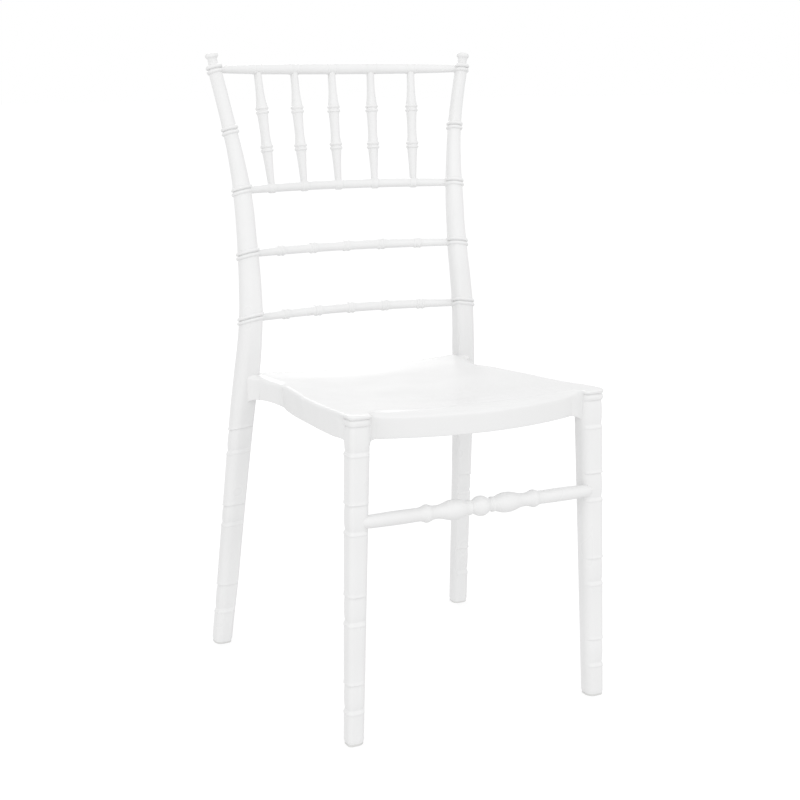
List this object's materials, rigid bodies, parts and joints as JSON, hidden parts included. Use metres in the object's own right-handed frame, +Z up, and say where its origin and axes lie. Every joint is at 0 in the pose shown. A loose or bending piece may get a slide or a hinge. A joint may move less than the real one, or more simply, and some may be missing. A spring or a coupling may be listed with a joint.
{
  "type": "chiavari chair",
  "caption": "White moulded banquet chair with bamboo-ringed legs and posts, bowed back rails, short turned spindles, a turned front stretcher and a dished seat.",
  "frame": {"origin": "centre of the chair's outline on the floor", "axes": "+Z up, front of the seat towards -Y, X along the width"},
  "size_m": [0.4504, 0.5012, 0.905],
  "materials": {
    "frame_plastic": "white glossy moulded polypropylene, slightly uneven sheen",
    "seat_plastic": "white glossy moulded polypropylene",
    "glide_plastic": "off-white nylon",
    "bolt_steel": "zinc plated",
    "insert_brass": "plain"
  },
  "bodies": {
    "root": {"left_front_leg": "frame_plastic", "right_front_leg": "frame_plastic", "left_rear_post": "frame_plastic", "right_rear_post": "frame_plastic", "front_stretcher": "frame_plastic", "top_rail": "frame_plastic", "spindle_rail": "frame_plastic", "upper_back_rail": "frame_plastic", "lower_back_rail": "frame_plastic", "spindle_1": "frame_plastic", "spindle_2": "frame_plastic", "spindle_3": "frame_plastic", "spindle_4": "frame_plastic", "spindle_5": "frame_plastic", "left_finial": "frame_plastic", "right_finial": "frame_plastic", "seat": "seat_plastic", "left_front_glide": "glide_plastic", "right_front_glide": "glide_plastic", "left_rear_glide": "glide_plastic", "right_rear_glide": "glide_plastic", "front_leg_bolts": "bolt_steel", "rear_post_bolts": "bolt_steel", "front_leg_threaded_inserts": "insert_brass", "rear_post_threaded_inserts": "insert_brass"}
  },
  "joints": []
}
